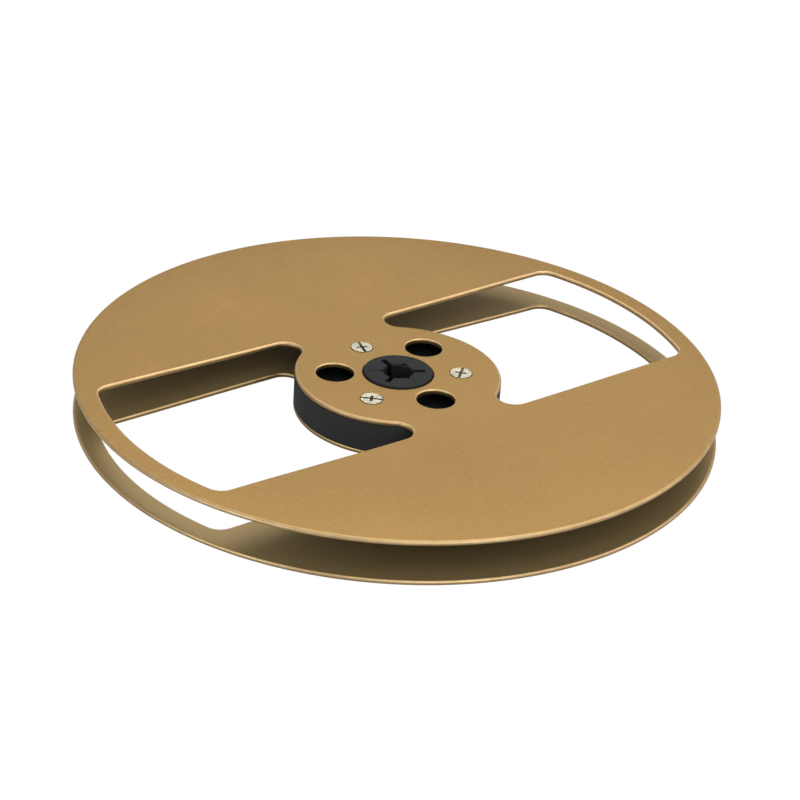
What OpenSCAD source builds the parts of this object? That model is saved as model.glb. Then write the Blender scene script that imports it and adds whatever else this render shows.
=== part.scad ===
// Empty audio tape reel: two windowed flanges screwed to a drum, with a keyed bush for the spindle.
// The axis is Z, the rim of the lower flange stands on Z = 0, and the windows lie along X.

/* [Overall] */
// Diameter of both flanges
reel_d = 178; // [150:1:200]
// Height from rim to rim, outside
reel_h = 12.8; // [12:0.1:16]

/* [Flanges] */
// Thickness of each flange
flange_t = 1.45; // [1.3:0.05:1.8]
// How much further out the rim stands than the seat on the drum
dish = 0.8; // [0:0.1:1.2]
// Radius of the rounded edges of the rim
rim_edge_r = 0.5; // [0.2:0.05:0.6]
// Width of the closed ring outside the windows
rim_w = 6; // [4:0.5:12]
// How far outside the windows the flat foot of the rim starts
foot_inset = 1; // [0.5:0.1:1.5]
// Distance between the two straight sides of a window
window_w = 62; // [56:0.5:72]
// Radius of the rounded corners of a window
window_corner_r = 4.5; // [2:0.25:5]
// Width of the flat seat that lies outside the drum
seat_margin = 1.4; // [0.5:0.1:3]

/* [Hole circle] */
// Diameter of the circle on which the screws and the round holes lie
circle_d = 35; // [34:0.5:38]
// Diameter of the three round holes between the screws
round_hole_d = 10.5; // [6:0.1:11]

/* [Drum] */
// Diameter on which the tape is wound
drum_d = 57.15; // [55:0.05:65]
// Thickness of the drum's outer wall
drum_wall = 2.4; // [1.6:0.1:3]
// Thickness of the web at half height
web_t = 3; // [2:0.1:4]
// Thickness of the sleeve around the bush
sleeve_wall = 1.8; // [1.2:0.1:2]
// Diameter of the three screw pillars
pillar_d = 8; // [7.5:0.1:8.5]
// Thickness of the ribs that hold the pillars
rib_t = 1.8; // [1:0.1:3]
// Width of the slot that takes the end of the tape
tape_slot_w = 1.8; // [1:0.1:3]

/* [Bush] */
// Diameter of the spindle bore
bore_d = 8; // [6.5:0.05:9]
// Lead-in chamfer at both ends of the bore
lead_in = 0.4; // [0.1:0.05:0.5]
// Outside diameter of the bush
bush_d = 19.3; // [18.5:0.1:20]
// How far each end of the bush stands above the seat of the flange
bush_proud = 0.55; // [0.2:0.05:0.8]
// Chamfer at the outer edge of each end of the bush
bush_chamfer = 0.35; // [0.1:0.05:0.5]
// Width of the three keyways
keyway_w = 1.5; // [1:0.1:2]
// Diameter of the circle that the keyways reach
keyway_d = 15; // [12:0.1:16]
// Width of the three short notches between the keyways
notch_w = 1.2; // [0.6:0.1:1.6]
// Diameter of the circle that the notches reach
notch_d = 9.9; // [9.5:0.1:11]
// Depth of the notches below the end faces
notch_depth = 0.6; // [0.2:0.1:1]
// Width of the shallow grooves that run outwards from the notches
groove_w = 1.1; // [0.4:0.1:1.4]
// Diameter of the circle that the grooves reach
groove_d = 17; // [14:0.1:17]
// Depth of the grooves below the end faces
groove_depth = 0.1; // [0.05:0.05:0.3]

/* [Screws and inserts] */
// Diameter of a screw head
head_d = 6; // [5.5:0.1:6.5]
// Height of the straight edge of a screw head
head_lip = 0.3; // [0.2:0.05:0.4]
// How far a screw head stands above the flange's outer face
head_proud = 0.15; // [0:0.05:0.2]
// How far the cone of a screw head ends short of the flange's inner face
cone_margin = 0.1; // [0.05:0.05:0.3]
// Diameter of a screw's threaded shank
shank_d = 2.9; // [2.5:0.1:3]
// How far a screw reaches into its insert
screw_reach = 3.15; // [2.5:0.05:3.4]
// Width of the slot and the cross recess in a head
recess_w = 0.8; // [0.5:0.1:1]
// Length of one arm of the cross recess across the head
cross_l = 3.2; // [2.5:0.1:3.6]
// Depth of the slot below the head's face
slot_depth = 0.7; // [0.4:0.05:0.8]
// Depth of the cross recess below the head's face
cross_depth = 1; // [0.6:0.05:1.1]
// Outside diameter of a threaded insert
insert_d = 4.4; // [4:0.1:5]
// Length of a threaded insert
insert_l = 3.6; // [3:0.1:3.8]

/* [Clearances] */
// Gap around the bush in the flange's middle opening
bush_gap = 0.25; // [0.1:0.05:0.5]
// Gap around the bush in the drum's sleeve
press_gap = 0.02; // [0.01:0.01:0.05]
// Gap around the straight edge of a screw head in the mouth of its countersink
head_gap = 0.25; // [0.2:0.05:0.4]
// Gap around the cone of a screw head
cone_gap = 0.1; // [0.05:0.05:0.2]
// Gap around a screw shank in its insert
thread_gap = 0.05; // [0.02:0.01:0.1]
// Gap around an insert in its pillar
insert_gap = 0.02; // [0.01:0.01:0.05]
// Space beyond the end of an insert in its pillar
insert_end_gap = 0.2; // [0.1:0.05:0.4]

/* [Hidden] */
$fn = 96;

// Screws lie at these angles, and the round holes half way between them
first_screw_a = -30;
stations = 3;
station_step = 360 / stations;
hole_shift = station_step / 2;

// Angles at which the slots of the screws came to rest, upper flange then lower flange
upper_slot_a = [72, -16, -72];
lower_slot_a = [75, -15, 40];

reel_r = reel_d / 2;
drum_r = drum_d / 2;
bush_r = bush_d / 2;
bore_r = bore_d / 2;
circle_r = circle_d / 2;
head_r = head_d / 2;
shank_r = shank_d / 2;

// Radius of the flange's middle opening and of the drum's bore for the bush
middle_hole_r = bush_r + bush_gap;
sleeve_bore_r = bush_r + press_gap;

// Heights: outer and inner faces of the seats, and the drum between them
lower_seat_out = dish;
lower_seat_in = dish + flange_t;
drum_h = reel_h - 2 * lower_seat_in;

// Radii at which the flat seat ends, the windows end, and the flat foot of the rim starts
seat_r = drum_r + seat_margin;
ring_r = reel_r - rim_w;
foot_r = ring_r + foot_inset;

// Window outline: half width, and the centres of its outer and inner corner circles
window_half = window_w / 2;
corner_y = window_half - window_corner_r;
outer_corner_x = sqrt(pow(ring_r - window_corner_r, 2) - pow(corner_y, 2));
inner_corner_x = sqrt(pow(drum_r + window_corner_r, 2) - pow(corner_y, 2));

// Screw: part of the head's straight edge below the flange's face, height of the cone, whole length
sunk_lip = head_lip - head_proud;
head_cone = flange_t - sunk_lip - cone_margin;
screw_l = head_proud + flange_t + screw_reach;

// How far a chord of the window outline may lie inside its arc
arc_error = 0.02;

// Countersink in a flange: straight mouth, cone and hole
mouth_r = head_r + head_gap;
mouth_depth = sunk_lip + cone_gap / 2;
sink_r = head_r + cone_gap;
sink_hole_r = shank_r + 2 * cone_gap;

// Bush: height of its lower end and length
bush_low = lower_seat_out - bush_proud;
bush_l = reel_h - 2 * bush_low;

// Overshoot of a cutting body beyond the face that it cuts
over = 1;

// Puts its children at one screw, number 1 to 3
module at_screw(number) {
    rotate([0, 0, first_screw_a + (number - 1) * station_step])
        translate([circle_r, 0, 0])
            children();
}

// Puts its children half way between the screws, number 1 to 3
module at_hole(number) {
    rotate([0, 0, hole_shift])
        at_screw(number)
            children();
}

// Turns a piece of the lower flange over into the upper one
module turned_over() {
    translate([0, 0, reel_h])
        mirror([0, 0, 1])
            children();
}

// Half section of the lower flange: flat seat, shallow cone, and flat foot with rounded edges
module flange_section() {
    polygon([
        [middle_hole_r, lower_seat_out],
        [seat_r, lower_seat_out],
        [foot_r, 0],
        [reel_r - rim_edge_r, 0],
        [reel_r - rim_edge_r, flange_t],
        [foot_r, flange_t],
        [seat_r, lower_seat_in],
        [middle_hole_r, lower_seat_in],
    ]);
    for (edge_z = [rim_edge_r, flange_t - rim_edge_r])
        translate([reel_r - rim_edge_r, edge_z])
            circle(r = rim_edge_r);
    translate([reel_r - 2 * rim_edge_r, rim_edge_r])
        square([2 * rim_edge_r, flange_t - 2 * rim_edge_r]);
}

// Points of an arc about a centre; the point at the first angle is left out unless skip is 0
function arc_points(centre, r, from, to, skip = 1) =
    let (steps = ceil(abs(to - from) / (2 * acos(1 - arc_error / r))))
    [for (i = [skip : steps])
        let (a = from + (to - from) * i / steps)
        centre + r * [cos(a), sin(a)]];

// Outline of the window on the +X side, from the ring's arc through the +Y corners to the -Y ones
module window_outline() {
    outer_a = atan2(corner_y, outer_corner_x);
    inner_a = atan2(corner_y, inner_corner_x);
    r = window_corner_r;
    polygon(concat(
        arc_points([0, 0], ring_r, -outer_a, outer_a),
        arc_points([outer_corner_x, corner_y], r, outer_a, 90),
        arc_points([inner_corner_x, corner_y], r, 90, 180 + inner_a, skip = 0),
        arc_points([0, 0], drum_r, inner_a, -inner_a),
        arc_points([inner_corner_x, -corner_y], r, 180 - inner_a, 270),
        arc_points([outer_corner_x, -corner_y], r, 270, 360 - outer_a, skip = 0)
    ));
}

// Space cut for one screw, from the flange's outer face inwards
module countersink() {
    translate([0, 0, lower_seat_out - over])
        cylinder(r = mouth_r, h = over + mouth_depth);
    translate([0, 0, lower_seat_out + mouth_depth])
        cylinder(r1 = sink_r, r2 = sink_hole_r, h = head_cone);
    translate([0, 0, lower_seat_out])
        cylinder(r = sink_hole_r, h = flange_t + over);
}

// One flange as it lies at the bottom of the reel
module flange() {
    difference() {
        rotate_extrude()
            flange_section();
        for (side = [0, 1])
            mirror([side, 0, 0])
                translate([0, 0, -over])
                    linear_extrude(height = lower_seat_in + 2 * over)
                        window_outline();
        for (number = [1 : stations]) {
            at_screw(number)
                countersink();
            at_hole(number)
                translate([0, 0, lower_seat_out - over])
                    cylinder(d = round_hole_d, h = flange_t + 2 * over);
        }
    }
}

// One screw of the lower flange, with its head below
module screw(slot_a) {
    translate([0, 0, lower_seat_out - head_proud])
        difference() {
            union() {
                cylinder(r = head_r, h = head_lip);
                translate([0, 0, head_lip])
                    cylinder(r1 = head_r, r2 = shank_r, h = head_cone);
                cylinder(r = shank_r, h = screw_l);
            }
            rotate([0, 0, slot_a]) {
                translate([-head_d, -recess_w / 2, -over])
                    cube([2 * head_d, recess_w, over + slot_depth]);
                for (turn = [0, 90])
                    rotate([0, 0, turn])
                        translate([-cross_l / 2, -recess_w / 2, -over])
                            cube([cross_l, recess_w, over + cross_depth]);
            }
        }
}

// One threaded insert in the lower end of the drum
module insert() {
    translate([0, 0, lower_seat_in])
        difference() {
            cylinder(d = insert_d, h = insert_l);
            translate([0, 0, -over])
                cylinder(r = shank_r + thread_gap, h = insert_l + 2 * over);
        }
}

// Solid parts of the drum before its bores are cut
module drum_body() {
    difference() {
        cylinder(r = drum_r, h = drum_h);
        translate([0, 0, -over])
            cylinder(r = drum_r - drum_wall, h = drum_h + 2 * over);
    }
    translate([0, 0, (drum_h - web_t) / 2])
        cylinder(r = drum_r - drum_wall / 2, h = web_t);
    cylinder(r = sleeve_bore_r + sleeve_wall, h = drum_h);
    for (number = [1 : stations])
        at_screw(number) {
            cylinder(d = pillar_d, h = drum_h);
            translate([sleeve_bore_r - circle_r, -rib_t / 2, 0])
                cube([drum_r - drum_wall / 2 - sleeve_bore_r, rib_t, drum_h]);
        }
}

module hub_drum() {
    pocket_d = insert_d + 2 * insert_gap;
    pocket_l = insert_l + insert_end_gap;
    color([0.10, 0.10, 0.11])
        translate([0, 0, lower_seat_in])
            difference() {
                drum_body();
                translate([0, 0, -over])
                    cylinder(r = sleeve_bore_r, h = drum_h + 2 * over);
                for (number = [1 : stations])
                    at_screw(number) {
                        translate([0, 0, -over])
                            cylinder(d = pocket_d, h = pocket_l + over);
                        translate([0, 0, drum_h - pocket_l])
                            cylinder(d = pocket_d, h = pocket_l + over);
                    }
                translate([drum_r - drum_wall - over / 2, -tape_slot_w / 2, -over])
                    cube([drum_wall + over, tape_slot_w, drum_h + 2 * over]);
            }
}

// Solid of revolution of the bush, with its outer edges and its bore chamfered
module bush_body() {
    rotate_extrude()
        polygon([
            [bore_r, lead_in],
            [bore_r + lead_in, 0],
            [bush_r - bush_chamfer, 0],
            [bush_r, bush_chamfer],
            [bush_r, bush_l - bush_chamfer],
            [bush_r - bush_chamfer, bush_l],
            [bore_r + lead_in, bush_l],
            [bore_r, bush_l - lead_in],
        ]);
}

// Space cut into both end faces of the bush, from the axis outwards along X
module end_cut(d, w, depth) {
    for (low = [-over, bush_l - depth])
        translate([0, -w / 2, low])
            cube([d / 2, w, depth + over]);
}

module spindle_bush() {
    color([0.16, 0.16, 0.17])
        translate([0, 0, bush_low])
            difference() {
                bush_body();
                for (number = [1 : stations])
                    rotate([0, 0, first_screw_a + (number - 1) * station_step]) {
                        translate([0, -keyway_w / 2, -over])
                            cube([keyway_d / 2, keyway_w, bush_l + 2 * over]);
                        rotate([0, 0, hole_shift]) {
                            end_cut(notch_d, notch_w, notch_depth);
                            end_cut(groove_d, groove_w, groove_depth);
                        }
                    }
            }
}

module lower_flange() {
    color([0.70, 0.55, 0.33])
        flange();
}

module upper_flange() {
    color([0.72, 0.57, 0.35])
        turned_over()
            flange();
}

module lower_screw(number) {
    color([0.78, 0.77, 0.72])
        at_screw(number)
            screw(lower_slot_a[number - 1]);
}

module upper_screw(number) {
    color([0.80, 0.79, 0.74])
        turned_over()
            at_screw(number)
                screw(upper_slot_a[number - 1]);
}

module lower_insert(number) {
    color([0.72, 0.60, 0.30])
        at_screw(number)
            insert();
}

module upper_insert(number) {
    color([0.74, 0.62, 0.32])
        turned_over()
            at_screw(number)
                insert();
}

lower_flange();
upper_flange();
hub_drum();
spindle_bush();
upper_screw(1);  // upper_screw_1
upper_screw(2);  // upper_screw_2
upper_screw(3);  // upper_screw_3
lower_screw(1);  // lower_screw_1
lower_screw(2);  // lower_screw_2
lower_screw(3);  // lower_screw_3
upper_insert(1);  // upper_insert_1
upper_insert(2);  // upper_insert_2
upper_insert(3);  // upper_insert_3
lower_insert(1);  // lower_insert_1
lower_insert(2);  // lower_insert_2
lower_insert(3);  // lower_insert_3
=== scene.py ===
# %% [markdown]
# # An empty reel for audio tape
#
# The real reel is two thin aluminium plates, anodised gold, screwed to a black moulded drum. A
# black bush in the middle goes on the machine's spindle. This file dresses the imported CAD model.
# The hidden threaded inserts keep their CAD shape. What the eye rests on is built again with
# rounded edges: the two plates, the drum, the bush and the screws.
#
# The imported model comes first, because it fixes where everything is.

# %% Load the imported model as a fixed frame
import math

import bmesh
import bpy
import numpy as np
from mathutils import Matrix, Vector, geometry


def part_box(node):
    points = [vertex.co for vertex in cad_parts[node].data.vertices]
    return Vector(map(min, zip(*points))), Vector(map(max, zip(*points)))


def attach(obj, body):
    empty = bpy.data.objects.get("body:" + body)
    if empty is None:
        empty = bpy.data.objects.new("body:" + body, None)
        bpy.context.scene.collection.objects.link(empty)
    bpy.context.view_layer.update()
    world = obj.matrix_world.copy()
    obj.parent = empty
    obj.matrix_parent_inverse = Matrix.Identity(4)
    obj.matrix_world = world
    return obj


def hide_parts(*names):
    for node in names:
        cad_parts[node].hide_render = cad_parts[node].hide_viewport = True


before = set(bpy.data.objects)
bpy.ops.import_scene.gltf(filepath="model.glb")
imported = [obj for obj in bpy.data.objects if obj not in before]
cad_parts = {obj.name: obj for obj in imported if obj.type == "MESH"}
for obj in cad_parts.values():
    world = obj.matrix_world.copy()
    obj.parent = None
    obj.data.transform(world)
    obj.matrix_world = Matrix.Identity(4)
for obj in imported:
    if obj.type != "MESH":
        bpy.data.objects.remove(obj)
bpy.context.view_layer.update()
MM = 0.001

# %% [markdown]
# ## Sizes
#
# Outside sizes are read from the CAD nodes, so the looks follow the model. What a box can't tell,
# such as a wall or a corner radius, is repeated here in millimetres. All lengths up to the
# finished meshes stay in millimetres, because they are easy to read, and they are turned into
# metres once, at the end.

# %% Sizes from the frame
def node_box(node):
    """Lowest and highest corner of a CAD node, in millimetres."""
    return [np.array(corner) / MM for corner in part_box(node)]


reel_low, reel_high = node_box("upper_flange")
reel_r = round((reel_high[0] - reel_low[0]) / 2, 2)
reel_h = round(reel_high[2], 2)
drum_r = round(node_box("hub_drum")[1][1], 3)
bush_box = node_box("spindle_bush")
bush_r = round(bush_box[1][0], 2)
seat_in = round(node_box("hub_drum")[0][2], 2)
flange_t = 1.45
dish = seat_in - flange_t
print("radius of reel, drum, bush:", reel_r, drum_r, bush_r)
print("height", reel_h, "dish", round(dish, 2))

# %% [markdown]
# ## The outline of a flange
#
# A flange is a disc with two large windows, three round holes, three countersunk holes and a
# middle hole. Every edge of it is rounded a little, and that is what catches the light. A bevel
# modifier makes long thin faces on such a plate. Here each outline is a row of points that know
# which way to draw back into the metal, so one outline gives all the rings of a rounded edge.

# %% Outlines that can draw back into the metal
def arc(centre, radius, start, end, steps, grow=1):
    """Rows of centre x, centre y, radius, angle, grow. With grow 1 the metal is on the outside."""
    angles = np.radians(np.linspace(start, end, steps + 1))
    rows = np.zeros((len(angles), 5))
    rows[:] = (centre[0], centre[1], radius, 0, grow)
    rows[:, 3] = angles
    return rows


def full_circle(centre, radius, steps, grow=1):
    return arc(centre, radius, 0, 360, steps, grow)[:-1]


def straight(x_from, x_to, y, radius, angle, steps):
    """Points along a side that lies one radius from a line of centres, both ends left out."""
    rows = np.zeros((steps + 1, 5))
    rows[:] = (0, y, radius, math.radians(angle), 1)
    rows[:, 0] = np.linspace(x_from, x_to, steps + 1)
    return rows[1:-1]


def drawn_back(outline, back):
    """The outline's points, drawn back into the metal by that much."""
    cx, cy, radius, angle, grow = outline.T
    radius = radius + grow * back
    return np.stack([cx + radius * np.cos(angle), cy + radius * np.sin(angle)], 1)


def outward(outline):
    """At each point of the outline, the direction out of the metal."""
    angle, grow = outline[:, 3], outline[:, 4]
    return np.stack([-grow * np.cos(angle), -grow * np.sin(angle)], 1)


rim = full_circle((0, 0), reel_r, steps=384, grow=-1)
print("rim:", len(rim), "points, first one drawn back 1 mm:", drawn_back(rim, 1)[0])

# %% The window's outline
window_half = 31.0
corner_r = 4.5
ring_width = 6.0
ring_r = reel_r - ring_width
corner_y = window_half - corner_r
outer_x = math.sqrt((ring_r - corner_r) ** 2 - corner_y**2)
inner_x = math.sqrt((drum_r + corner_r) ** 2 - corner_y**2)
outer_a = math.degrees(math.atan2(corner_y, outer_x))
inner_a = math.degrees(math.atan2(corner_y, inner_x))

half_window = np.concatenate([
    arc((0, 0), ring_r, 0, outer_a, steps=18)[:-1],
    arc((outer_x, corner_y), corner_r, outer_a, 90, steps=12),
    straight(outer_x, inner_x, corner_y, corner_r, 90, steps=10),
    arc((inner_x, corner_y), corner_r, 90, 180 + inner_a, steps=16),
    arc((0, 0), drum_r, inner_a, 0, steps=28, grow=-1)[1:],
])


def mirrored_x(outline):
    """The outline on the other side of the reel."""
    other = outline.copy()
    other[:, 0] *= -1
    other[:, 3] = math.pi - other[:, 3]
    return other


def mirrored_y(outline):
    other = outline.copy()
    other[:, 1] *= -1
    other[:, 3] *= -1
    return other


window = np.concatenate([half_window, mirrored_y(half_window)[-2:0:-1]])
print("window outline:", len(window), "points, corners at", round(outer_x, 2), round(inner_x, 2))

# %% [markdown]
# ## The edges of a flange
#
# The rim, the windows and the round holes have softly rounded edges, as tumbled and anodised
# sheet has. The screw holes are countersunk instead, with crisp edges. An edge is a row of steps
# from the outer face down to the inner one. Each step says how far the metal is drawn back and
# how deep it lies, and which way it faces, so that shading is smooth on a rounded edge and sharp
# on a crisp one.

# %% Edge sections
def rounded_edge(radius, thickness, steps):
    """Steps of (back, depth, out, up) at both ends, round at both faces."""
    turns = [math.radians(90 - 90 * k / steps) for k in range(steps + 1)]
    points = [(radius * (1 - math.cos(a)), radius * (1 - math.sin(a)), math.cos(a), math.sin(a))
              for a in turns]
    points += [(back, thickness - depth, out, -up) for back, depth, out, up in reversed(points)]
    return list(zip(points[:-1], points[1:]))


def crisp_edge(points):
    """Steps with one facing each, between points of (back, depth)."""
    steps = []
    for (back_a, depth_a), (back_b, depth_b) in zip(points[:-1], points[1:]):
        length = math.hypot(back_b - back_a, depth_b - depth_a)
        out, up = (depth_b - depth_a) / length, (back_a - back_b) / length
        steps.append(((back_a, depth_a, out, up), (back_b, depth_b, out, up)))
    return steps


circle_r = 17.5
# Angles in degrees: the three screws, and the turn from each to the next hole or notch
station_angles = (-30, 90, 210)
between = 60
stations = np.radians(station_angles)
round_hole_r = 5.25
bush_gap = 0.25
middle_hole_r = bush_r + bush_gap
mouth_r, mouth_bevel, mouth_depth = 3.25, 0.05, 0.2
sink_r, sink_hole_r, sink_depth = 3.1, 1.65, 1.4
rim_round, cut_round, hole_round, middle_round = 0.7, 0.66, 0.42, 0.2

screw_places = [(circle_r * math.cos(a), circle_r * math.sin(a)) for a in stations]
hole_places = [(circle_r * math.cos(a + math.pi / 3), circle_r * math.sin(a + math.pi / 3))
               for a in stations]
soft = rounded_edge(cut_round, flange_t, steps=6)
hole_soft = rounded_edge(hole_round, flange_t, steps=5)
middle_soft = rounded_edge(middle_round, flange_t, steps=3)
countersunk = crisp_edge([
    (mouth_bevel, 0), (0, mouth_bevel), (0, mouth_depth), (sink_r - mouth_r, mouth_depth),
    (sink_hole_r - mouth_r, sink_depth), (sink_hole_r - mouth_r, flange_t)])

# Each row is an outline, its section, and how far it is polished and given a painted highlight: all
# of it, its corners or none
flange_edges = [(rim, rounded_edge(rim_round, flange_t, steps=6), "all")]
flange_edges += [(window, soft, "corners"), (mirrored_x(window), soft, "corners")]
flange_edges += [(full_circle(place, round_hole_r, steps=72), hole_soft, "corners")
                 for place in hole_places]
flange_edges += [(full_circle(place, mouth_r, steps=48), countersunk, "none")
                 for place in screw_places]
flange_edges += [(full_circle((0, 0), middle_hole_r, steps=96), middle_soft, "none")]
print("edges on a flange:", len(flange_edges))

# %% [markdown]
# ## The flange as a mesh
#
# The flange is dished: its middle is seated on the drum, and the rim stands 0.8 mm further out.
# The height follows one smooth rule of the radius. The two faces are filled with a triangulation
# that keeps to the outlines, with a few rings of points between them to carry the dish. Shading
# normals come from the same rule, so the large faces stay perfectly even. The upper flange is the
# same plate, turned over by counting its height down from the top.

# %% Dish and faces
seat_margin, foot_margin = 1.4, 1.0
seat_r = drum_r + seat_margin
foot_r = ring_r + foot_margin
print("the dish lies between radius", round(seat_r, 2), "and", round(foot_r, 2))


def dish_height(r):
    """Height of the outer face above the plane of the rim."""
    t = np.clip((r - seat_r) / (foot_r - seat_r), 0, 1)
    return dish * (1 - t * t * (3 - 2 * t))


def dish_slope(r):
    t = np.clip((r - seat_r) / (foot_r - seat_r), 0, 1)
    return -dish * 6 * t * (1 - t) / (foot_r - seat_r)


def inside(points, ring):
    """Which points lie inside a closed ring, by counting crossings."""
    never_zero = 1e-12
    x, y = points[:, :1], points[:, 1:]
    ax, ay = ring[:, 0], ring[:, 1]
    bx, by = np.roll(ax, -1), np.roll(ay, -1)
    climb = np.where(by == ay, never_zero, by - ay)
    crossed = ((ay > y) != (by > y)) & (x < (bx - ax) * (y - ay) / climb + ax)
    return crossed.sum(1) % 2 == 1


def in_metal(points, rings):
    solid = inside(points, rings[0])
    for ring in rings[1:]:
        solid &= ~inside(points, ring)
    return solid


def fill_face(rings, first_r=12.5, rim_clear=1.5, spacing=3.2, clear=1.3):
    """Points between the rings, and triangles over rings and points."""
    outline = np.concatenate(rings)
    extra = []
    # Each ring of points starts at an angle of its own, so that neighbours don't line up
    for r in np.arange(first_r, reel_r - rim_clear, spacing):
        count = math.ceil(2 * math.pi * r / spacing)
        a = np.linspace(0, 2 * math.pi, count, endpoint=False) + r
        extra.append(np.stack([r * np.cos(a), r * np.sin(a)], 1))
    extra = np.concatenate(extra)
    extra = extra[in_metal(extra, rings)]
    gap = np.linalg.norm(extra[:, None] - outline[None], axis=2).min(1)
    extra = extra[gap > clear]
    points = np.concatenate([outline, extra])
    sides, first = [], 0
    for ring in rings:
        sides += [(first + k, first + (k + 1) % len(ring)) for k in range(len(ring))]
        first += len(ring)
    made = geometry.delaunay_2d_cdt([Vector(p) for p in points], sides, [], 0, 1e-6)
    source = [ids[0] for ids in made[3]]
    faces = np.array([[source[v] for v in face] for face in made[2]])
    middles = points[faces].mean(1)
    return extra, faces[in_metal(middles, rings)]


# %% Build one flange
# Rounded edges are lightened most where they face out and up: partly polish, partly painted
# highlight
rim_polish_highlight, corner_polish_highlight = 1.6, 2.6


def polish_and_highlight(extent, out, up):
    """How far an edge is polished and given a painted highlight, where it faces out and up by these
    amounts.
    """
    if extent == "none":
        return 0
    return min(1, rim_polish_highlight * out if extent == "all" else corner_polish_highlight * abs(out * up))


def flange_mesh(name, turned_over):
    """The whole plate as one closed mesh, with its own shading normals and two masks."""
    places, masks, faces, facings = [], [], [], []
    inner_depth = 0.99 * flange_t

    def add_points(flat, depth, edge):
        first = sum(len(p) for p in places)
        r = np.linalg.norm(flat, axis=1)
        places.append(np.column_stack([flat, dish_height(r) + depth]))
        masks.append(np.full((len(flat), 2), (edge, float(depth > inner_depth))))
        return first + np.arange(len(flat))

    face_rings = {0: [], 1: []}
    for outline, section, extent in flange_edges:
        levels = [section[0][0]] + [step[1] for step in section]
        rows = [add_points(drawn_back(outline, back), depth, polish_and_highlight(extent, out, up))
                for back, depth, out, up in levels]
        face_rings[0].append((rows[0], drawn_back(outline, levels[0][0])))
        face_rings[1].append((rows[-1], drawn_back(outline, levels[-1][0])))
        side = outward(outline)
        count = len(outline)
        for number, (start, end) in enumerate(section):
            high, low = (np.column_stack([side * out, np.full(count, -up)])
                         for _, _, out, up in (start, end))
            above, below = rows[number], rows[number + 1]
            for k in range(count):
                n = (k + 1) % count
                faces.append((above[k], above[n], below[n], below[k]))
                facings.append((high[k], high[n], low[n], low[k]))

    for which, depth, up in ((0, 0, -1), (1, flange_t, 1)):
        rings = [flat for _, flat in face_rings[which]]
        extra, triangles = fill_face(rings)
        index = np.concatenate([ids for ids, _ in face_rings[which]]
                               + [add_points(extra, depth, 0)])
        flat = np.concatenate(rings + [extra])
        r = np.linalg.norm(flat, axis=1)
        lean = dish_slope(r)[:, None] * flat / r[:, None]
        facing = up * np.column_stack([-lean, np.ones(len(flat))])
        facing /= np.linalg.norm(facing, axis=1)[:, None]
        faces += [tuple(index[t]) for t in triangles]
        facings += [tuple(facing[t]) for t in triangles]

    points = np.concatenate(places)
    if turned_over:
        points[:, 2] = reel_h - points[:, 2]
    return plate_object(name, points, faces, facings, np.concatenate(masks), turned_over)


def new_object(name, data):
    made = bpy.data.objects.new(name, data)
    bpy.context.scene.collection.objects.link(made)
    return made


def plate_object(name, points, faces, facings, masks, turned_over):
    """Turns every face outwards, then makes the object with its shading normals and its masks."""
    flip = np.array([1, 1, -1 if turned_over else 1])
    ordered, corners = [], []
    for face, facing in zip(faces, facings):
        facing = [normal * flip for normal in facing]
        a, b, c = (points[v] for v in face[:3])
        if np.cross(b - a, c - a) @ sum(facing) < 0:
            face, facing = face[::-1], facing[::-1]
        ordered.append([int(v) for v in face])
        corners += facing
    mesh = bpy.data.meshes.new(name)
    mesh.from_pydata([tuple(p * MM) for p in points], [], ordered, shade_flat=False)
    mesh.normals_split_custom_set([tuple(c / np.linalg.norm(c)) for c in corners])
    for column, which in enumerate(("edge", "inner")):
        kept = mesh.attributes.new(which, "FLOAT", "POINT")
        kept.data.foreach_set("value", masks[:, column].astype(np.float32))
    return new_object(name, mesh)


lower_plate = flange_mesh("lower_plate", turned_over=False)
upper_plate = flange_mesh("upper_plate", turned_over=True)
for plate, node in ((lower_plate, "lower_flange"), (upper_plate, "upper_flange")):
    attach(plate, "root")
    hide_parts(node)
    print(plate.name, len(plate.data.polygons), "faces")

# %% [markdown]
# ## Small helpers for parts cut out of a turned body
#
# The bush and the drum are bodies of revolution with slots and pockets cut in them. On the real
# ones a mould makes both at once. In Blender a turned body and a few cutting boxes come to the
# same, and a small bevel afterwards gives the moulded edges their highlight.

# %% Turned bodies, boxes and cuts
def turned_body(name, section, steps):
    """A closed body of revolution from a closed section of (radius, height) in millimetres."""
    build = bmesh.new()
    rings = []
    for k in range(steps):
        a = 2 * math.pi * k / steps
        rings.append([build.verts.new((r * math.cos(a) * MM, r * math.sin(a) * MM, z * MM))
                      for r, z in section])
    for k in range(steps):
        ring, after = rings[k], rings[(k + 1) % steps]
        for j in range(len(section)):
            n = (j + 1) % len(section)
            build.faces.new((ring[j], after[j], after[n], ring[n]))
    bmesh.ops.recalc_face_normals(build, faces=build.faces)
    mesh = bpy.data.meshes.new(name)
    build.to_mesh(mesh)
    build.free()
    return new_object(name, mesh)


def add_box(build, low, high, angle):
    """Adds one box, given in millimetres, turned about the reel's axis by an angle in degrees."""
    size = [(b - a) * MM for a, b in zip(low, high)]
    middle = [(a + b) / 2 * MM for a, b in zip(low, high)]
    place = (Matrix.Rotation(math.radians(angle), 4, "Z") @ Matrix.Translation(middle)
             @ Matrix.Diagonal((*size, 1)))
    bmesh.ops.create_cube(build, size=1, matrix=place)


def boxes(name, rows):
    build = bmesh.new()
    for low, high, angle in rows:
        add_box(build, low, high, angle)
    mesh = bpy.data.meshes.new(name)
    build.to_mesh(mesh)
    build.free()
    return new_object(name, mesh)


def cut(body, cutter, operation="DIFFERENCE"):
    step = body.modifiers.new("cut", "BOOLEAN")
    step.operation = operation
    step.solver = "EXACT"
    step.use_self = True
    step.object = cutter


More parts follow.
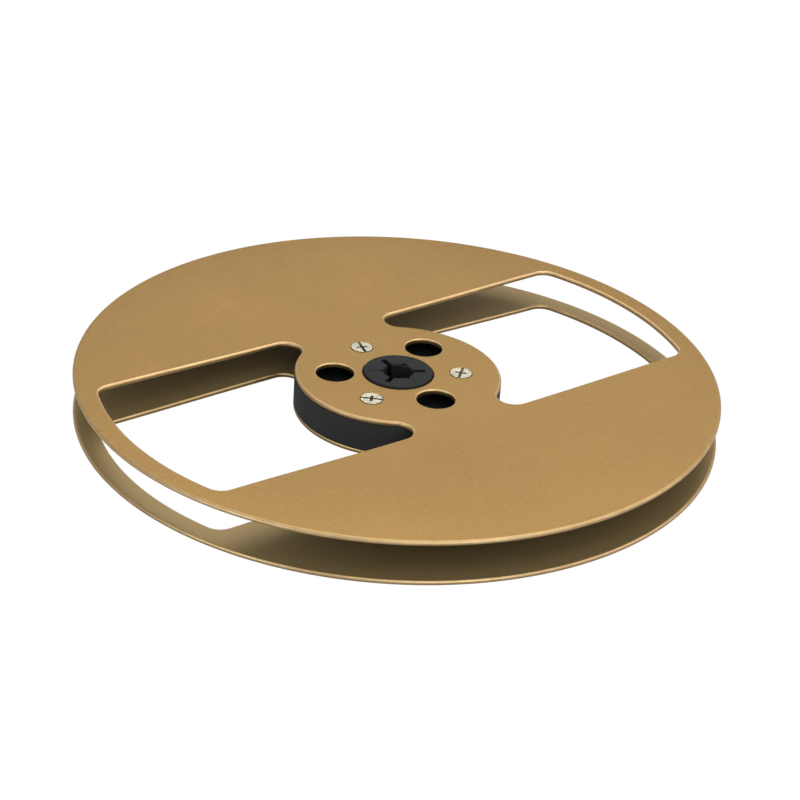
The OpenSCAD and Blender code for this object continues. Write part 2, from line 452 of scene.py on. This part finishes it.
def settle(body, *cutters):
    """Replaces the body's mesh by what its modifiers make of it, and removes the cutters."""
    graph = bpy.context.evaluated_depsgraph_get()
    mesh = bpy.data.meshes.new_from_object(body.evaluated_get(graph), preserve_all_data_layers=True,
                                           depsgraph=graph)
    body.modifiers.clear()
    body.data = mesh
    for cutter in cutters:
        bpy.data.objects.remove(cutter)


def soften(body, width, segments=2, angle=32):
    """Rounds the edges that are sharper than the angle, and shades the rest smoothly."""
    for face in body.data.polygons:
        face.use_smooth = True
    step = body.modifiers.new("rounded edges", "BEVEL")
    step.width = width * MM
    step.segments = segments
    step.limit_method = "ANGLE"
    step.angle_limit = math.radians(angle)
    step.harden_normals = True
    step.miter_outer = "MITER_ARC"
    settle(body)


# %% [markdown]
# ## The bush
#
# The bush is a black moulded boss that stands a little proud of the flanges. The spindle's three
# wings pass through three keyways, and a lead-in at each end of the bore guides the spindle in.
# Between the keyways are three short notches, each with a shallow groove that runs on towards the
# edge. All of it is cut from one turned body.

# %% Bush
bush_low, bush_top = bush_box[0][2], bush_box[1][2]
bore_r, lead_in, outer_round, round_steps = 4.0, 0.4, 0.35, 4
key_half, key_reach = 0.75, 7.5
notch_half, notch_reach, notch_depth = 0.6, 4.95, 0.6
groove_half, groove_reach, groove_depth = 0.55, 8.5, 0.1

half = [(bore_r, lead_in), (bore_r + lead_in, 0)]
for k in range(round_steps + 1):
    a = math.radians(90 * k / round_steps)
    half.append((bush_r - outer_round * (1 - math.sin(a)), outer_round * (1 - math.cos(a))))
bush = turned_body("bush", [(r, bush_low + z) for r, z in half]
                   + [(r, bush_top - z) for r, z in reversed(half)], steps=144)
keyways = boxes("keyways", [((0, -key_half, bush_low - 1), (key_reach, key_half, bush_top + 1), a)
                            for a in station_angles])
notches, grooves = (
    boxes(name, [((0, -width, z - depth), (reach, width, z + depth), a + between)
                 for a in station_angles for z in (bush_low, bush_top)])
    for name, width, reach, depth in (("notches", notch_half, notch_reach, notch_depth),
                                      ("grooves", groove_half, groove_reach, groove_depth)))
for cutter in (keyways, notches, grooves):
    cut(bush, cutter)
settle(bush, keyways, notches, grooves)
soften(bush, 0.07)
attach(bush, "root")
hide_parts("spindle_bush")
print("bush", len(bush.data.polygons), "faces")

# %% [markdown]
# ## Helpers for geometry trees
#
# What repeats by a rule suits Geometry Nodes. The drum's three pillars and the screws are made
# that way, each by a tree whose inputs are the sizes that a drawing would give. These helpers
# keep the trees short.

# %% Helpers for a geometry tree
def tree_node(tree, kind, links=(), **settings):
    """A node with its settings, and its inputs linked to sockets or set to values."""
    node = tree.nodes.new(kind)
    for name, value in settings.items():
        setattr(node, name, value)
    for key, value in dict(links).items():
        if isinstance(value, bpy.types.NodeSocket):
            tree.links.new(value, node.inputs[key])
        else:
            node.inputs[key].default_value = value
    return node


def maths(tree, operation, a, b=0.0):
    return tree_node(tree, "ShaderNodeMath", {0: a, 1: b}, operation=operation).outputs[0]


def vector(tree, x=0.0, y=0.0, z=0.0):
    return tree_node(tree, "ShaderNodeCombineXYZ", {0: x, 1: y, 2: z}).outputs[0]


def chosen(tree, index, values):
    """The value whose place in the list is the index."""
    node = tree.nodes.new("GeometryNodeIndexSwitch")
    node.data_type = "FLOAT"
    while len(node.index_switch_items) < len(values):
        node.index_switch_items.new()
    tree.links.new(index, node.inputs["Index"])
    for k, value in enumerate(values):
        socket = node.inputs[k + 1]
        if isinstance(value, bpy.types.NodeSocket):
            tree.links.new(value, socket)
        else:
            socket.default_value = value
    return node.outputs[0]


def tree_with_inputs(name, sizes, others=()):
    """A new tree: a length input for each size in millimetres, other inputs, one geometry out."""
    tree = bpy.data.node_groups.new(name, "GeometryNodeTree")
    face = tree.interface
    for size, value in sizes.items():
        made = face.new_socket(size, in_out="INPUT", socket_type="NodeSocketFloat")
        made.default_value = value * MM
    for other in others:
        face.new_socket(other, in_out="INPUT", socket_type="NodeSocketFloat")
    face.new_socket("Material", in_out="INPUT", socket_type="NodeSocketMaterial")
    face.new_socket("Geometry", in_out="OUTPUT", socket_type="NodeSocketGeometry")
    return tree, tree.nodes.new("NodeGroupInput").outputs


def three_copies(tree, given, shape, height, rotation):
    """Ends a tree: copies on the three stations, made real and given the material."""
    spots = tree_node(tree, "GeometryNodeMeshCircle", {
        "Vertices": 3, "Radius": given["Circle radius"]}, fill_type="NONE")
    turned = tree_node(tree, "GeometryNodeTransform", {
        "Geometry": spots.outputs[0], "Translation": vector(tree, z=height),
        "Rotation": (0, 0, math.radians(station_angles[0]))})
    copies = tree_node(tree, "GeometryNodeInstanceOnPoints", {
        "Points": turned.outputs[0], "Instance": shape, "Rotation": vector(tree, z=rotation)})
    real = tree_node(tree, "GeometryNodeRealizeInstances", {0: copies.outputs[0]})
    finished = tree_node(tree, "GeometryNodeSetMaterial", {
        "Geometry": real.outputs[0], "Material": given["Material"]})
    tree.links.new(finished.outputs[0], tree_node(tree, "NodeGroupOutput").inputs[0])


def run_tree(name, tree, settings):
    """A plain mesh object made by the tree, with these inputs set by name before it runs."""
    made = new_object(name, bpy.data.meshes.new(name))
    step = made.modifiers.new("tree", "NODES")
    step.node_group = tree
    identifiers = {s.name: s.identifier for s in tree.interface.items_tree if s.in_out == "INPUT"}
    for key, value in settings.items():
        step[identifiers[key]] = value
    settle(made)
    return made


print("helpers for trees are ready")

# %% [markdown]
# ## The drum
#
# The drum is a moulded tub, open at both faces, with a web at half height. A turned body gives
# the wall, the web and the sleeve round the bush. A tree gives the three pillars that take the
# screws, each on a rib between sleeve and wall, and the tub and the pillars are joined. Only then
# are the pockets for the inserts cut, by the result of a second tree, because they reach into the
# web. A slot in the wall takes the end of the tape.

# %% The trees that make three pillars and their pockets
drum_low, drum_high = node_box("hub_drum")[0][2], node_box("hub_drum")[1][2]
drum_h = drum_high - drum_low
bush_fit, wall_t = 0.02, 2.4
sleeve_bore_r = bush_r + bush_fit
wall_in = drum_r - wall_t
rib_centre_r, end_clear = 18.95, 0.04
PILLAR_SIZES = {
    "Pillar radius": 4.0, "Height": drum_h - end_clear, "Rib thickness": 1.8, "Rib length": 16.9,
    "Rib centre": rib_centre_r - circle_r, "Circle radius": circle_r,
}
POCKET_SIZES = {
    "Height": drum_h, "Pocket radius": 2.22, "Pocket depth": 3.8, "Circle radius": circle_r,
}


def station_turn(tree):
    """The angle of the copy's own station: a third of a turn for each, less a quarter of that."""
    number = tree_node(tree, "GeometryNodeInputIndex").outputs[0]
    return maths(tree, "MULTIPLY", maths(tree, "SUBTRACT", number, 0.25), 2 * math.pi / 3)


def pillar_tree():
    tree, given = tree_with_inputs("Three pillars on ribs", PILLAR_SIZES)
    height, radius = given["Height"], given["Pillar radius"]
    pillar = tree_node(tree, "GeometryNodeMeshCylinder", {
        "Vertices": 64, "Radius": radius, "Depth": height}, fill_type="NGON").outputs["Mesh"]
    rib = tree_node(tree, "GeometryNodeMeshCube", {
        "Size": vector(tree, given["Rib length"], given["Rib thickness"], height)}).outputs["Mesh"]
    rib = tree_node(tree, "GeometryNodeTransform", {
        "Geometry": rib, "Translation": vector(tree, given["Rib centre"])}).outputs[0]
    joined = tree_node(tree, "GeometryNodeMeshBoolean", {}, operation="UNION", solver="EXACT")
    for shape in (pillar, rib):
        tree.links.new(shape, joined.inputs[1])
    three_copies(tree, given, joined.outputs[0], 0.0, station_turn(tree))
    return tree


def pocket_tree():
    """Cutters for a pocket in each end of each pillar: twice its depth, centred on the end face."""
    tree, given = tree_with_inputs("Pockets in three pillars", POCKET_SIZES)
    depth = maths(tree, "MULTIPLY", given["Pocket depth"], 2.0)
    pocket = tree_node(tree, "GeometryNodeMeshCylinder", {
        "Vertices": 48, "Radius": given["Pocket radius"], "Depth": depth},
        fill_type="NGON").outputs["Mesh"]
    pair = tree_node(tree, "GeometryNodeJoinGeometry")
    for half in (0.5, -0.5):
        placed = tree_node(tree, "GeometryNodeTransform", {
            "Geometry": pocket,
            "Translation": vector(tree, z=maths(tree, "MULTIPLY", given["Height"], half))})
        tree.links.new(placed.outputs[0], pair.inputs[0])
    three_copies(tree, given, pair.outputs[0], 0.0, station_turn(tree))
    return tree


pillars = run_tree("pillars", pillar_tree(), {})
pockets = run_tree("pockets", pocket_tree(), {})
for made in (pillars, pockets):
    made.data.transform(Matrix.Translation((0, 0, (drum_low + drum_high) / 2 * MM)))
    print(made.name, len(made.data.polygons), "faces")

# %% Drum
web_t, sleeve_t = 3, 1.8
slot_half, slot_clear = 0.9, 0.5
web_low = (drum_low + drum_high) / 2 - web_t / 2
web_high = web_low + web_t
sleeve_r = sleeve_bore_r + sleeve_t
drum = turned_body("drum", [
    (sleeve_bore_r, drum_low), (sleeve_r, drum_low), (sleeve_r, web_low), (wall_in, web_low),
    (wall_in, drum_low), (drum_r, drum_low), (drum_r, drum_high), (wall_in, drum_high),
    (wall_in, web_high), (sleeve_r, web_high), (sleeve_r, drum_high), (sleeve_bore_r, drum_high)],
    steps=180)
cut(drum, pillars, "UNION")
settle(drum, pillars)
slot = boxes("slot", [((wall_in - slot_clear, -slot_half, drum_low - 1),
                       (drum_r + 1, slot_half, drum_high + 1), 0)])
cut(drum, pockets)
cut(drum, slot)
settle(drum, pockets, slot)
soften(drum, 0.15)

# The mask "recess" is 1 on everything inside the wall and 0 on the wall itself; the drum's material
# paints shade there, darkening the whole tub
wall_share = 0.5
radii = np.array([math.hypot(point.co.x, point.co.y) / MM for point in drum.data.vertices])
recess = drum.data.attributes.new("recess", "FLOAT", "POINT")
recess.data.foreach_set("value", (radii < wall_in + wall_share).astype(np.float32))
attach(drum, "root")
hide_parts("hub_drum")
print("drum", len(drum.data.polygons), "faces")

# %% [markdown]
# ## The screws
#
# Six countersunk screws of one kind hold the flanges, and each stopped at its own angle. One tree
# turns a blank, cuts the slot and the cross into its head, and puts copies on the three stations
# of the hole circle. Its inputs are the sizes of the screw and the angle of each slot.

# %% The tree that makes three screws
tip_share = 0.25
SCREW_SIZES = {
    "Head radius": 3.0, "Head edge": 0.3, "Cone height": 1.2, "Shank radius": 1.45,
    "Length": 4.75, "Slot width": 0.8, "Slot depth": 0.7, "Cross length": 3.2, "Cross depth": 1.0,
    "Circle radius": circle_r,
}


def screw_tree():
    tree, given = tree_with_inputs("Three countersunk screws", SCREW_SIZES,
                                   ("Height", "Slot angle 1", "Slot angle 2", "Slot angle 3"))

    # A plain cylinder with four bands, whose five rings are moved to the screw's own sizes
    blank = tree_node(tree, "GeometryNodeMeshCylinder", {
        "Vertices": 64, "Side Segments": 4, "Radius": 1.0, "Depth": 4.0}, fill_type="NGON")
    place = tree_node(tree, "GeometryNodeInputPosition").outputs[0]
    parts = tree_node(tree, "ShaderNodeSeparateXYZ", {0: place}).outputs
    level = tree_node(tree, "FunctionNodeFloatToInt", {0: maths(tree, "ADD", parts[2], 2.0)},
                      rounding_mode="ROUND").outputs[0]
    head, edge, cone = given["Head radius"], given["Head edge"], given["Cone height"]
    shank, length = given["Shank radius"], given["Length"]
    tip = maths(tree, "MULTIPLY", shank, tip_share)
    below = maths(tree, "SUBTRACT", 0.0, maths(tree, "ADD", edge, cone))
    radius = chosen(tree, level, [maths(tree, "SUBTRACT", shank, tip), shank, shank, head, head])
    height = chosen(tree, level, [
        maths(tree, "SUBTRACT", 0.0, length), maths(tree, "SUBTRACT", tip, length), below,
        maths(tree, "SUBTRACT", 0.0, edge), 0.0])
    shaped = tree_node(tree, "GeometryNodeSetPosition", {
        "Geometry": blank.outputs["Mesh"],
        "Position": vector(tree, maths(tree, "MULTIPLY", parts[0], radius),
                           maths(tree, "MULTIPLY", parts[1], radius), height)})

    # Three boxes cut the recess: one for the slot and two for the cross
    wide, deep = given["Slot width"], maths(tree, "MULTIPLY", given["Cross depth"], 2.0)
    reach = given["Cross length"]
    slot = vector(tree, maths(tree, "MULTIPLY", head, 3.0), wide,
                  maths(tree, "MULTIPLY", given["Slot depth"], 2.0))
    cuts = [tree_node(tree, "GeometryNodeMeshCube", {"Size": size}).outputs["Mesh"]
            for size in (slot, vector(tree, reach, wide, deep), vector(tree, wide, reach, deep))]
    cutting = tree_node(tree, "GeometryNodeMeshBoolean", {}, operation="DIFFERENCE", solver="EXACT")
    tree.links.new(shaped.outputs[0], cutting.inputs[0])
    for made in cuts:
        tree.links.new(made, cutting.inputs[1])

    number = tree_node(tree, "GeometryNodeInputIndex").outputs[0]
    angle = chosen(tree, number, [given[f"Slot angle {k}"] for k in (1, 2, 3)])
    three_copies(tree, given, cutting.outputs[0], given["Height"], angle)
    return tree


SCREWS = screw_tree()
print("screw tree:", len(SCREWS.nodes), "nodes")

# %% [markdown]
# ## Finishes
#
# The flanges are gold anodised aluminium with a fine matt blasting under the anodising: an even
# colour that glitters faintly when seen close. Their rounded edges are lighter, partly polished and
# partly a painted highlight, and the faces towards the tape are duller, as in the photograph, with
# an olive tone that is painted shade. The drum and the bush are black plastic, and the screws are
# bright plated steel. Grain is the same kind of effect on all of them, only finer or coarser, so it
# is one shader group with named inputs. The group gives a colour, a roughness and a height that
# vary over the surface, and the material puts them on its own shader. Three masks come from the
# meshes: "edge" and "inner" on the flanges, and "recess" in the screw slots and in the tub of the
# drum. Through the recess mask both hollows are painted with shade, so the tub shows nearly black
# through the round holes.

# %% Shader groups
def group_sockets(group, inputs, outputs):
    for direction, rows in (("INPUT", inputs), ("OUTPUT", outputs)):
        for name, kind, value in rows:
            made = group.interface.new_socket(name, in_out=direction,
                                              socket_type="NodeSocket" + kind)
            if value is not None:
                made.default_value = value


def colour_mix(tree, share, first, second):
    """The first colour turning into the second as the share goes from 0 to 1."""
    return tree_node(tree, "ShaderNodeMix", {0: share, 6: first, 7: second},
                     data_type="RGBA").outputs[2]


def map_range(tree, value, low, high, to_low=0.0, to_high=1.0):
    """The value, moved from one range to another and kept within it."""
    return tree_node(tree, "ShaderNodeMapRange",
                     {0: value, 1: low, 2: high, 3: to_low, 4: to_high}).outputs[0]


def fine_grain_group():
    """Fine grain and slow clouding: two scales of noise move colour, roughness and height."""
    group = bpy.data.node_groups.new("Fine grain", "ShaderNodeTree")
    group_sockets(group, [
        ("Place", "Vector", None), ("Dark", "Color", (0.3, 0.3, 0.3, 1)),
        ("Light", "Color", (0.5, 0.5, 0.5, 1)), ("Grain scale", "Float", 3000.0),
        ("Cloud scale", "Float", 60.0), ("Cloud share", "Float", 0.3),
        ("Roughness low", "Float", 0.35), ("Roughness high", "Float", 0.5)],
        [("Color", "Color", None), ("Roughness", "Float", None), ("Height", "Float", None)])
    given = group.nodes.new("NodeGroupInput").outputs
    grain = tree_node(group, "ShaderNodeTexNoise", {
        "Vector": given["Place"], "Scale": given["Grain scale"], "Detail": 4.0,
        "Roughness": 0.6}).outputs[0]
    cloud = tree_node(group, "ShaderNodeTexNoise", {
        "Vector": given["Place"], "Scale": given["Cloud scale"], "Detail": 3.0}).outputs[0]
    both = tree_node(group, "ShaderNodeMix",
                     {0: given["Cloud share"], 2: grain, 3: cloud}).outputs[0]
    # Noise keeps to the middle of its range, so that part is spread over the whole
    low, high = 0.3, 0.7
    colour = colour_mix(group, map_range(group, both, low, high), given["Dark"], given["Light"])
    rough = map_range(group, both, low, high, given["Roughness low"], given["Roughness high"])
    out = tree_node(group, "NodeGroupOutput")
    for source, name in ((colour, "Color"), (rough, "Roughness"), (grain, "Height")):
        group.links.new(source, out.inputs[name])
    return group


def worn_edge_highlight_group():
    """Edges polished by hands and shelves, plus a painted highlight: lighter and smoother where the
    mask is high.
    """
    group = bpy.data.node_groups.new("Worn edge and painted highlight", "ShaderNodeTree")
    group_sockets(group, [
        ("Color", "Color", (0.5, 0.5, 0.5, 1)), ("Polish and highlight", "Color", (0.8, 0.8, 0.8, 1)),
        ("Roughness", "Float", 0.4), ("Smoother by", "Float", 0.1), ("Mask", "Float", 0.0),
        ("Place", "Vector", None), ("Patch scale", "Float", 300.0), ("Amount", "Float", 0.5)],
        [("Color", "Color", None), ("Roughness", "Float", None)])
    given = group.nodes.new("NodeGroupInput").outputs
    patches = tree_node(group, "ShaderNodeTexNoise", {
        "Vector": given["Place"], "Scale": given["Patch scale"], "Detail": 4.0}).outputs[0]
    broken = map_range(group, patches, low=0.35, high=0.6, to_low=0.75, to_high=1.0)
    share = maths(group, "MULTIPLY", given["Mask"], broken)
    share = maths(group, "MULTIPLY", share, given["Amount"])
    colour = colour_mix(group, share, given["Color"], given["Polish and highlight"])
    rough = maths(group, "SUBTRACT", given["Roughness"],
                  maths(group, "MULTIPLY", share, given["Smoother by"]))
    out = tree_node(group, "NodeGroupOutput")
    group.links.new(colour, out.inputs["Color"])
    group.links.new(rough, out.inputs["Roughness"])
    return group


FINE_GRAIN = fine_grain_group()
WORN_EDGE_HIGHLIGHT = worn_edge_highlight_group()
print("shader groups:", FINE_GRAIN.name, "and", WORN_EDGE_HIGHLIGHT.name)

# %% Material maker
def grained_material(name, dark, light, rough, grain, cloud, cloud_share, bump, metallic=0.0,
                     shine=0.5, edge=None, painted_shade=None):
    """A material from the grain group. Where the mesh's masks say so, edges get polish and a
    painted highlight, inner faces a painted shade tone and recesses painted shade.
    """
    made = bpy.data.materials.new(name)
    made.use_nodes = True
    tree = made.node_tree
    shader = tree.nodes["Principled BSDF"]
    shader.inputs["Metallic"].default_value = metallic
    shader.inputs["Specular IOR Level"].default_value = shine
    place = tree_node(tree, "ShaderNodeTexCoord").outputs["Object"]
    surface = tree_node(tree, "ShaderNodeGroup", node_tree=FINE_GRAIN)
    tree.links.new(place, surface.inputs["Place"])
    for key, value in (("Dark", (*dark, 1)), ("Light", (*light, 1)), ("Grain scale", grain),
                       ("Cloud scale", cloud), ("Cloud share", cloud_share),
                       ("Roughness low", rough[0]), ("Roughness high", rough[1])):
        surface.inputs[key].default_value = value
    colour, roughness = surface.outputs["Color"], surface.outputs["Roughness"]
    if edge:
        mask = tree_node(tree, "ShaderNodeAttribute", attribute_name="edge").outputs["Fac"]
        inner = tree_node(tree, "ShaderNodeAttribute", attribute_name="inner").outputs["Fac"]
        # Faces towards the tape take an olive tone, painted shade of the gap between the flanges,
        # and are less metallic
        colour = colour_mix(tree, inner, colour, (*edge["inner shade colour"], 1))
        duller = maths(tree, "MULTIPLY", inner, edge["inner dullness"])
        tree.links.new(maths(tree, "SUBTRACT", 1.0, duller), shader.inputs["Metallic"])
        # The lighter edge colour is partly polish and partly a painted highlight
        edge_polish_highlight = tree_node(tree, "ShaderNodeGroup", node_tree=WORN_EDGE_HIGHLIGHT)
        for source, key in ((colour, "Color"), (roughness, "Roughness"), (mask, "Mask"),
                            (place, "Place")):
            tree.links.new(source, edge_polish_highlight.inputs[key])
        edge_polish_highlight.inputs["Polish and highlight"].default_value = (*edge["colour"], 1)
        edge_polish_highlight.inputs["Smoother by"].default_value = edge["smoother"]
        edge_polish_highlight.inputs["Amount"].default_value = edge["amount"]
        colour, roughness = edge_polish_highlight.outputs["Color"], edge_polish_highlight.outputs["Roughness"]
    # Painted shade: the recess mask darkens the colour in hollows
    if painted_shade:
        deep = tree_node(tree, "ShaderNodeAttribute", attribute_name="recess").outputs["Fac"]
        colour = colour_mix(tree, deep, colour, (*painted_shade, 1))
    tree.links.new(colour, shader.inputs["Base Color"])
    tree.links.new(roughness, shader.inputs["Roughness"])
    relief = tree_node(tree, "ShaderNodeBump", {"Strength": bump[0], "Distance": bump[1] * MM,
                                                "Height": surface.outputs["Height"]})
    tree.links.new(relief.outputs[0], shader.inputs["Normal"])
    return made


GOLD = grained_material(
    "gold anodised aluminium", dark=(0.266, 0.160, 0.0512), light=(0.345, 0.211, 0.0716),
    metallic=1.0, rough=(0.42, 0.52), grain=1000, cloud=45, cloud_share=0.25, bump=(0.15, 0.05),
    # The edge colour is polished metal and a painted highlight on the rounded edges
    shine=0.1, edge={"colour": (0.66, 0.455, 0.24), "smoother": 0.05, "amount": 0.95,
                     # The inner colour is the painted shade tone of the gap between the flanges
                     "inner shade colour": (0.297, 0.213, 0.096), "inner dullness": 0.5})
DRUM_BLACK = grained_material(
    "satin black plastic", dark=(0.027, 0.0265, 0.0265), light=(0.037, 0.0362, 0.036),
    rough=(0.42, 0.52), grain=1400, cloud=90, cloud_share=0.4, bump=(0.15, 0.05), shine=0.04,
    # The recess colour is painted shade inside the tub
    painted_shade=(0.008, 0.008, 0.008))
BUSH_BLACK = grained_material(
    "matt black plastic", dark=(0.0105, 0.0102, 0.0105), light=(0.0155, 0.015, 0.0155),
    rough=(0.55, 0.68), grain=2000, cloud=120, cloud_share=0.35, bump=(0.3, 0.05), shine=0.15)
PLATED = grained_material(
    "bright plated steel", dark=(0.76, 0.71, 0.56), light=(0.94, 0.89, 0.73), metallic=1.0,
    rough=(0.16, 0.30), grain=2500, cloud=700, cloud_share=0.5, bump=(0.15, 0.02),
    # The recess colour is painted shade in the slot and the cross
    painted_shade=(0.2, 0.185, 0.12))
BRASS = grained_material(
    "turned brass", dark=(0.62, 0.42, 0.13), light=(0.74, 0.54, 0.22), metallic=1.0,
    rough=(0.25, 0.38), grain=1800, cloud=300, cloud_share=0.4, bump=(0.2, 0.02))

dressed = [(lower_plate, GOLD), (upper_plate, GOLD), (bush, BUSH_BLACK), (drum, DRUM_BLACK)]
dressed += [(made, BRASS) for node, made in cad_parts.items() if "insert" in node]
for piece, finish in dressed:
    piece.data.materials.clear()
    piece.data.materials.append(finish)
    print(piece.name, "is", finish.name)

# %% [markdown]
# ## Screws in their places
#
# The tree is run once for each flange. Below the reel the same three screws are turned over about
# the Y axis, which swaps two stations and keeps the pattern. The result is turned into a plain
# mesh before it joins the frame.

# %% Run the tree for both flanges
bright_depth, painted_shade_fade = 0.05, 0.3


def three_screws(name, height, slot_angles, turn_over):
    settings = {f"Slot angle {k}": math.radians(angle) for k, angle in enumerate(slot_angles, 1)}
    made = run_tree(name, SCREWS, {"Height": height * MM, "Material": PLATED, **settings})
    soften(made, 0.05, segments=2, angle=25)
    # The slot and the cross fade into painted shade with depth below the head's face
    depth = np.array([height - point.co.z / MM for point in made.data.vertices])
    recess = made.data.attributes.new("recess", "FLOAT", "POINT")
    share = np.clip((depth - bright_depth) / painted_shade_fade, 0, 1)
    recess.data.foreach_set("value", share.astype(np.float32))
    if turn_over:
        made.data.transform(Matrix.Rotation(math.pi, 4, "Y"))
    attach(made, "root")
    side = "lower" if turn_over else "upper"
    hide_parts(*[f"{side}_screw_{k}" for k in (1, 2, 3)])
    print(name, len(made.data.polygons), "faces")


head_proud = 0.15
three_screws("upper_screws", reel_h - dish + head_proud, (42, 74, 138), turn_over=False)
three_screws("lower_screws", head_proud - dish, (-70, 105, 135), turn_over=True)

# %% [markdown]
# ## Floor and light
#
# The reel was photographed under soft overhead light, and stands on pure white with no shadow.
# The floor does the same: what the camera sees of it glows white, while the reel's own
# reflections see a plain pale grey floor with a shadow under the reel. It lies a tenth of a
# millimetre below the rim, so that no two faces share a plane.
#
# Six soft panels light the reel. The large one above and a little behind gives the top its even
# gold. One above the camera and one on the right are brighter than the world, so the rounded
# edges show as thin bright lines. Two low ones in front, slightly cool, light the wall of the
# drum and the space between the flanges, and a weaker one shines into that space from the right.

# %% Floor
floor_drop = 0.1
floor_r = 6.0
floor_grey = (0.5, 0.5, 0.5, 1)
build = bmesh.new()
bmesh.ops.create_circle(build, cap_ends=True, segments=64, radius=floor_r,
                        matrix=Matrix.Translation((0, 0, -floor_drop * MM)))
floor_mesh = bpy.data.meshes.new("floor")
build.to_mesh(floor_mesh)
build.free()
floor = new_object("floor", floor_mesh)
floor_paint = bpy.data.materials.new("white floor")
floor_paint.use_nodes = True
nodes = floor_paint.node_tree
paint = nodes.nodes["Principled BSDF"]
seen = tree_node(nodes, "ShaderNodeLightPath").outputs["Is Camera Ray"]
shade = colour_mix(nodes, seen, floor_grey, (0, 0, 0, 1))
nodes.links.new(shade, paint.inputs["Base Color"])
paint.inputs["Roughness"].default_value = 1.0
paint.inputs["Specular IOR Level"].default_value = 0.0
paint.inputs["Emission Color"].default_value = (1, 1, 1, 1)
nodes.links.new(seen, paint.inputs["Emission Strength"])
floor_mesh.materials.append(floor_paint)
print("floor of radius", floor_r, "m, without a shadow for the camera only")

# %% Light
PHOTO_TURN = -37.655
turn = Matrix.Rotation(math.radians(PHOTO_TURN), 3, "Z")

world = bpy.data.worlds.new("white surroundings")
bpy.context.scene.world = world
world.use_nodes = True
world.node_tree.nodes["Background"].inputs["Color"].default_value = (1, 1, 1, 1)
world.node_tree.nodes["Background"].inputs["Strength"].default_value = 0.5
bpy.context.scene.view_settings.view_transform = "Standard"


def soft_panel(name, place, size, radiance, tint=(1, 1, 1)):
    """A square soft light aimed at the reel, placed as the camera sees it: right, away and up."""
    lamp = bpy.data.lights.new(name, "AREA")
    lamp.shape = "SQUARE"
    lamp.size = size
    lamp.energy = radiance * math.pi * size * size
    lamp.color = tint
    made = new_object(name, lamp)
    made.location = turn @ Vector(place)
    made.rotation_euler = (-made.location).to_track_quat("-Z", "Y").to_euler()


soft_panel("overhead panel", (0.08, 0.56, 1.0), size=1.0, radiance=2.7)
soft_panel("panel above the camera", (0.2, -0.75, 0.9), size=0.8, radiance=1.0)
soft_panel("panel on the right", (0.85, -0.2, 0.8), size=1.0, radiance=0.85)
for side, place in (("left", (-0.95, -0.85, 0.4)), ("right", (0.5, -1.15, 0.4))):
    soft_panel(f"low panel front {side}", place, size=0.8, radiance=2.1, tint=(0.85, 1, 0.98))
soft_panel("low panel right", (1.1, 0.1, 0.3), size=0.7, radiance=0.8)

# %% [markdown]
# ## Camera
#
# The photograph's view was solved from the rim, the windows and the bush: a long lens from 28
# degrees above, turned 38 degrees round the reel and rolled by 4. The camera is put there, with
# no shift and no blur.

# %% Camera at the photograph's viewing angle
# Angles in degrees, the distance in metres and the focal length in picture widths
PHOTO_RISE = 28.372
PHOTO_ROLL = 3.936
PHOTO_FAR = 0.629601
PHOTO_FOCAL = 2285.453 / 800
aim = Vector((1.028, -4.715, 6.0)) * MM

rise, roll = math.radians(PHOTO_RISE), math.radians(PHOTO_ROLL)
ahead = Vector((0, math.cos(rise), -math.sin(rise)))
up = Vector((0, math.sin(rise), math.cos(rise)))
right = Vector((1, 0, 0))
right, up = (right * math.cos(roll) + up * math.sin(roll),
             up * math.cos(roll) - right * math.sin(roll))
axes = Matrix((turn @ right, turn @ up, turn @ -ahead)).transposed()

lens = bpy.data.cameras.new("camera")
lens.sensor_width = 36
lens.lens = PHOTO_FOCAL * lens.sensor_width
lens.clip_start, lens.clip_end = 0.01, 50
camera = new_object("camera", lens)
camera.matrix_world = Matrix.Translation(turn @ (aim - ahead * PHOTO_FAR)) @ axes.to_4x4()
bpy.context.scene.camera = camera
print("camera at", [round(v, 4) for v in camera.location], "lens", round(lens.lens, 2))
